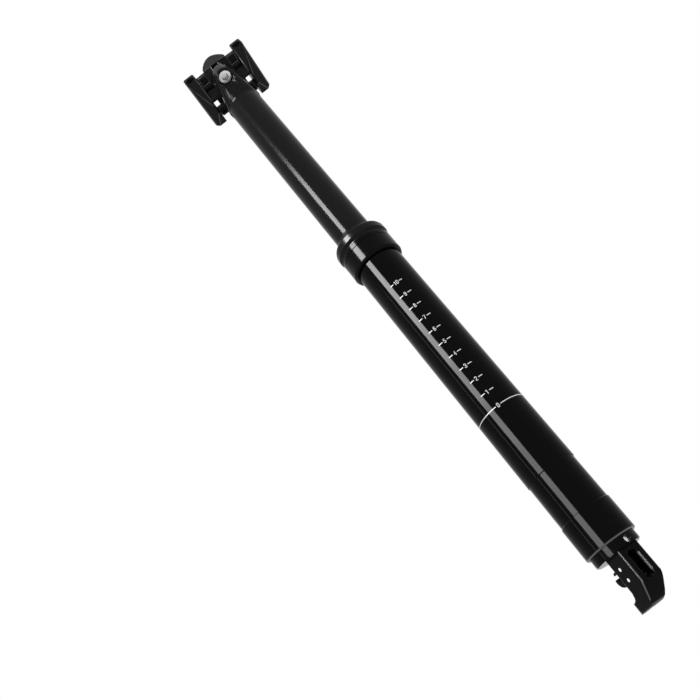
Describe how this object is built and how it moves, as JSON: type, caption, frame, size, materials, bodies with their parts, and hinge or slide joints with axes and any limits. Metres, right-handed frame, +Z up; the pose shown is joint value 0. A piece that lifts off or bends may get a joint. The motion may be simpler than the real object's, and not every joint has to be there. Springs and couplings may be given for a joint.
{
  "type": "dropper seatpost",
  "caption": "Height-adjustable bicycle seatpost: a sliding upper tube with a tilting two-bolt saddle rail clamp, a lower tube with a wiper collar, and a cable-pulled release at its foot.",
  "frame": {"origin": "on the post axis at the minimum insertion line, the zero of the scale printed on the lower tube", "axes": "+Z up the post towards the saddle clamp, +X to the front of the bicycle, so -X is the rear and +Y the left side"},
  "size_m": [0.0551, 0.0518, 0.4792],
  "materials": {
    "gloss_black_anodised": "black anodised, glossy",
    "satin_black_anodised": "black anodised, satin",
    "black_forging": "forged, black, semi-gloss",
    "black_rubber": "moulded, satin",
    "seal_rubber": "moulded, smooth",
    "bushing_bronze": "lined bronze, dull",
    "key_brass": "machined",
    "polished_rod": "ground and hard chromed",
    "plain_aluminium": "machined",
    "bolt_steel": "plated"
  },
  "bodies": {
    "lower": {"outer_tube": "gloss_black_anodised", "seal_collar": "satin_black_anodised", "wiper_seal": "black_rubber", "upper_bushing": "bushing_bronze", "end_cap": "gloss_black_anodised", "rod_foot": "plain_aluminium", "piston_rod": "polished_rod", "piston": "plain_aluminium", "piston_seal": "seal_rubber", "actuator_bracket": "black_forging", "bracket_grub_screw": "bolt_steel", "lever_pivot_pin": "bolt_steel", "lever_stop_pin": "bolt_steel"},
    "lever": {"release_lever": "black_forging"},
    "valve": {"valve_pin": "bolt_steel"},
    "upper": {"stanchion": "satin_black_anodised", "guide_keys": "key_brass", "lower_bushing": "bushing_bronze", "cartridge_tube": "plain_aluminium", "cartridge_gland": "plain_aluminium", "rod_seal": "seal_rubber", "top_out_bumper": "black_rubber", "cartridge_plug": "plain_aluminium", "cartridge_clip": "bolt_steel"},
    "floating_piston": {"floating_piston": "plain_aluminium", "floating_piston_seal": "seal_rubber"},
    "clamp": {"lower_cradle": "black_forging", "upper_clamp": "black_forging"},
    "rear_bolt": {"rear_bolt": "bolt_steel", "rear_washer": "bolt_steel"},
    "front_bolt": {"front_bolt": "bolt_steel", "front_washer": "bolt_steel"},
    "rear_nut": {"rear_barrel_nut": "bolt_steel"},
    "front_nut": {"front_barrel_nut": "bolt_steel"}
  },
  "joints": [
    {"name": "dropper_slide", "type": "slide", "parent": "lower", "child": "upper", "axis": [0, 0, 1], "range_m": [-0.15, 0], "stiffness_N_per_m": 200, "springref_m": 0.45},
    {"name": "floating_piston_slide", "type": "slide", "parent": "upper", "child": "floating_piston", "axis": [0, 0, 1], "range_m": [0, 0.038]},
    {"name": "saddle_tilt", "type": "hinge", "parent": "upper", "child": "clamp", "pos_m": [0, 0, 0.3336], "axis": [0, 1, 0], "range_deg": [-8, 8]},
    {"name": "rear_bolt_swing", "type": "hinge", "parent": "upper", "child": "rear_bolt", "pos_m": [-0.0208, 0, 0.3183], "axis": [0, 1, 0], "range_deg": [-2.7, 2.7]},
    {"name": "front_bolt_swing", "type": "hinge", "parent": "upper", "child": "front_bolt", "pos_m": [0.0208, 0, 0.3058], "axis": [0, 1, 0], "range_deg": [-1.1, 1.1]},
    {"name": "rear_nut_turn", "type": "hinge", "parent": "clamp", "child": "rear_nut", "pos_m": [-0.01017, 0, 0.34821], "axis": [0, 1, 0], "range_deg": [-5.5, 5.5]},
    {"name": "front_nut_turn", "type": "hinge", "parent": "clamp", "child": "front_nut", "pos_m": [0.0166, 0, 0.34003], "axis": [0, 1, 0], "range_deg": [-7.1, 7.1]},
    {"name": "lever_pull", "type": "hinge", "parent": "lower", "child": "lever", "pos_m": [-0.00101, -0.00065, -0.1031], "axis": [-0.5446, 0.8387, 0], "range_deg": [0, 22]},
    {"name": "valve_pin_slide", "type": "slide", "parent": "lower", "child": "valve", "axis": [0, 0, 1], "range_m": [0, 0.002], "stiffness_N_per_m": 300, "springref_m": -0.004}
  ],
  "couplings": [
    {"joint": "floating_piston_slide", "follows": "dropper_slide", "ratio": -0.25},
    {"joint": "rear_bolt_swing", "follows": "saddle_tilt", "ratio": 0.32647},
    {"joint": "front_bolt_swing", "follows": "saddle_tilt", "ratio": 0.12639},
    {"joint": "rear_nut_turn", "follows": "saddle_tilt", "ratio": -0.67353},
    {"joint": "front_nut_turn", "follows": "saddle_tilt", "ratio": -0.87361},
    {"joint": "lever_pull", "follows": "valve_pin_slide", "rad_per_m": 191.98}
  ]
}
